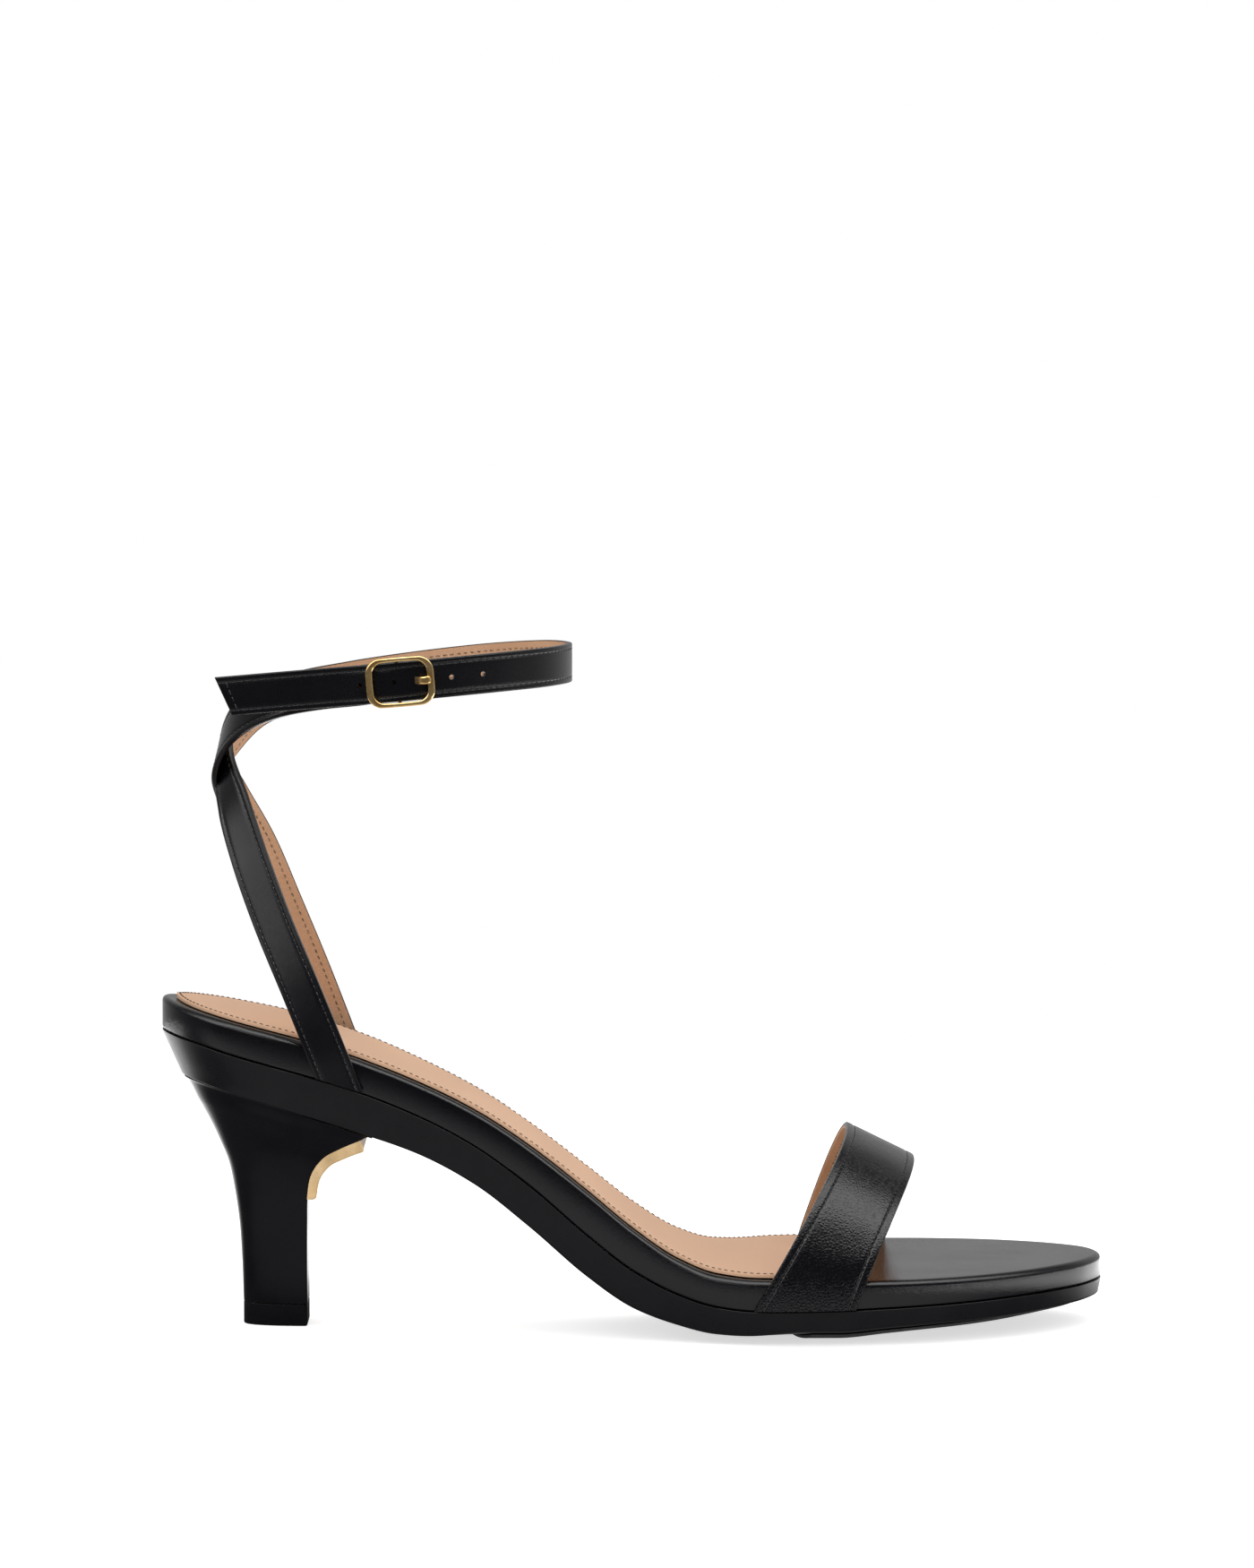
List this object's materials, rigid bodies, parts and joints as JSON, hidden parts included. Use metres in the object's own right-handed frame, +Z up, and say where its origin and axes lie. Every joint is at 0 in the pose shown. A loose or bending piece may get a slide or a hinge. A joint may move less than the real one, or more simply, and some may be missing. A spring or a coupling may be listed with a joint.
{
  "type": "heeled ankle-strap sandal",
  "caption": "Open right sandal with a slim curved heel, arched sole, wide toe strap, and back straps that cross behind the heel and buckle round the ankle.",
  "frame": {"origin": "on the floor below the middle of the shoe's box", "axes": "+X from heel to toe, +Y to the inner side of the foot, +Z up"},
  "size_m": [0.2309, 0.0841, 0.1676],
  "materials": {
    "black_leather": "smooth black leather with a fine grain and a soft sheen",
    "tan_leather": "smooth tan lining leather",
    "sole_black": "satin black",
    "tread_rubber": "dull black rubber",
    "heel_lacquer": "smooth black lacquer",
    "tip_rubber": "hard black rubber",
    "gilt": "polished pale gold"
  },
  "bodies": {
    "root": {"footbed": "black_leather", "insole": "tan_leather", "sole": "sole_black", "forefoot_tread": "tread_rubber", "heel": "heel_lacquer", "heel_tip": "tip_rubber", "heel_breast_plate": "gilt", "toe_strap": "black_leather", "ankle_straps": "black_leather", "buckle_frame": "gilt", "buckle_prong": "gilt"}
  },
  "joints": []
}
